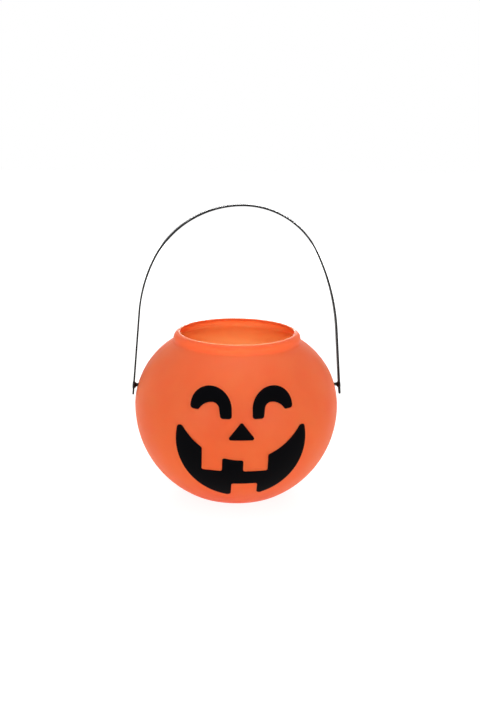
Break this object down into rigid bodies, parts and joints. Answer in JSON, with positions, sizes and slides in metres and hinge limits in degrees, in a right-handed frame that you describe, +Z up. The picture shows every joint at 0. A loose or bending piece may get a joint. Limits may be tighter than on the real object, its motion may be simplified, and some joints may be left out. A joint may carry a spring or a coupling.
{
  "type": "pumpkin candy pail",
  "caption": "Round pumpkin-shaped candy pail with an open mouth, a black jack-o'-lantern face on the front and a strap handle that swings on rivets in the sides.",
  "frame": {"origin": "centre of the standing ring, on the surface that the pail stands on", "axes": "+Z up through the mouth, -Y towards the side with the face, X along the line through the two rivets"},
  "size_m": [0.184, 0.1783, 0.2558],
  "materials": {
    "orange_polyethylene": "satin blow-moulded polyethylene",
    "black_polypropylene": "satin polypropylene strap",
    "black_nylon": "smooth moulded nylon",
    "black_vinyl": "flat black film"
  },
  "bodies": {
    "pail": {"pail_body": "orange_polyethylene", "left_eye": "black_vinyl", "right_eye": "black_vinyl", "nose": "black_vinyl", "mouth": "black_vinyl"},
    "handle": {"handle_strap": "black_polypropylene", "left_rivet": "black_nylon", "right_rivet": "black_nylon"}
  },
  "joints": [
    {"name": "handle_swing", "type": "hinge", "parent": "pail", "child": "handle", "pos_m": [0, 0, 0.0972], "axis": [1, 0, 0], "range_deg": [-120, 120]}
  ]
}
